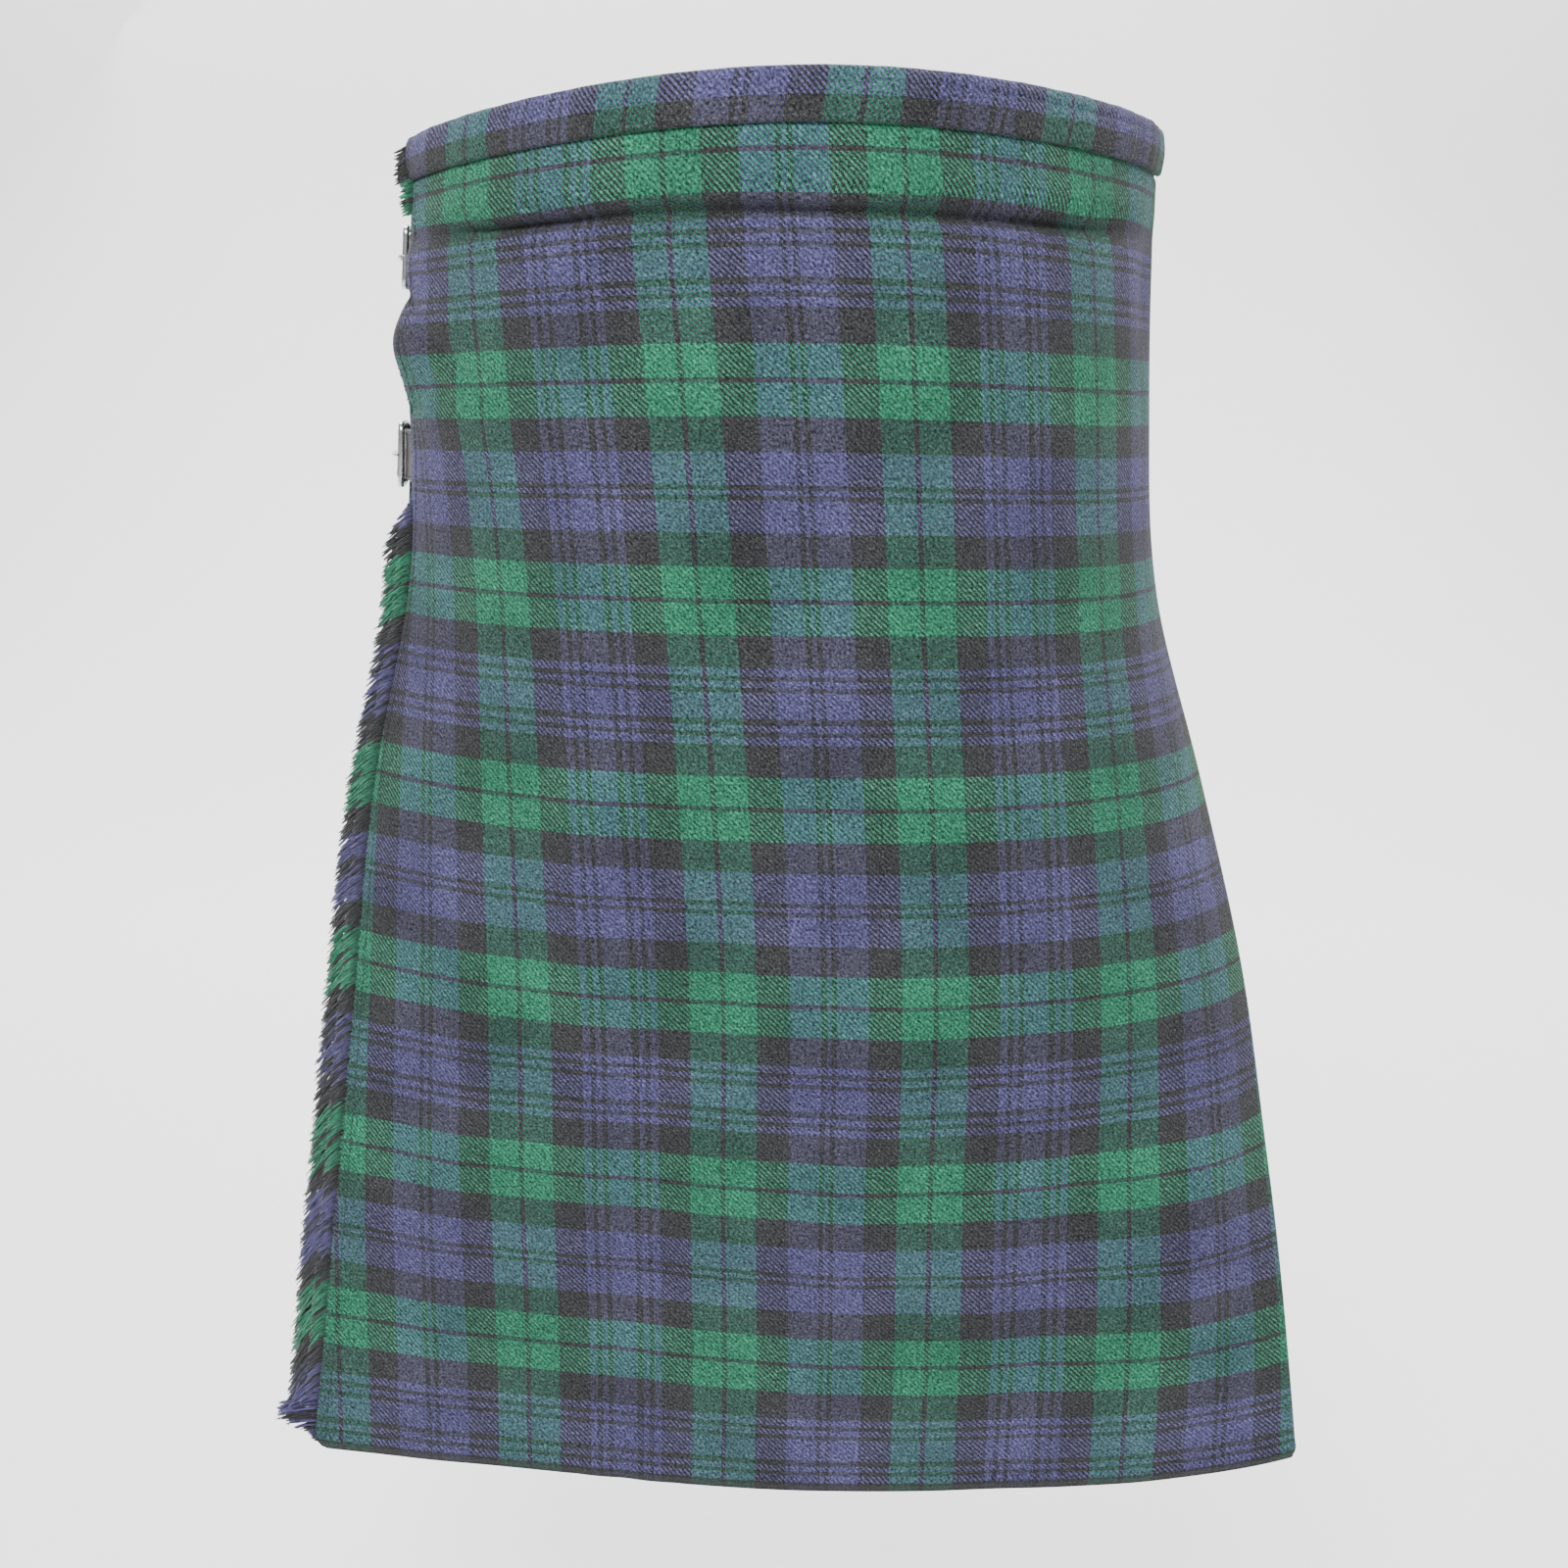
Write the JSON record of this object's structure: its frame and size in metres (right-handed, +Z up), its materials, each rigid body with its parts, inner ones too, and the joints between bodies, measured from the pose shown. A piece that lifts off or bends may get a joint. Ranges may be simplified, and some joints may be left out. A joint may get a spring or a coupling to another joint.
{
  "type": "scottish kilt",
  "caption": "Knee-length wrapped wool skirt in worn shape: flat fringed front apron over an under apron, knife pleats round the back, turned waistband, leather side straps with buckles",
  "frame": {"origin": "Middle of the waist opening, level with the top edge in front", "axes": "+Z up through the waist opening, -Y to the front of the wearer, -X to the wearer's right, where the over apron's fringed edge is"},
  "size_m": [0.5018, 0.3359, 0.6435],
  "materials": {
    "tartan": "brushed wool twill, matt",
    "fringe": "loose wool yarn ends",
    "leather": "smooth black strap leather",
    "buckle": "polished nickel plate"
  },
  "bodies": {
    "root": {"over_apron": "tartan", "under_apron": "tartan", "pleated_back": "tartan", "band_front": "tartan", "band_back": "tartan", "band_under": "tartan", "apron_fringe": "fringe", "strap_waist": "leather", "strap_hip": "leather", "strap_under": "leather", "tab_waist": "leather", "tab_hip": "leather", "tab_under": "leather", "buckle_waist": "buckle", "buckle_hip": "buckle", "buckle_under": "buckle", "prong_waist": "buckle", "prong_hip": "buckle", "prong_under": "buckle"}
  },
  "joints": []
}
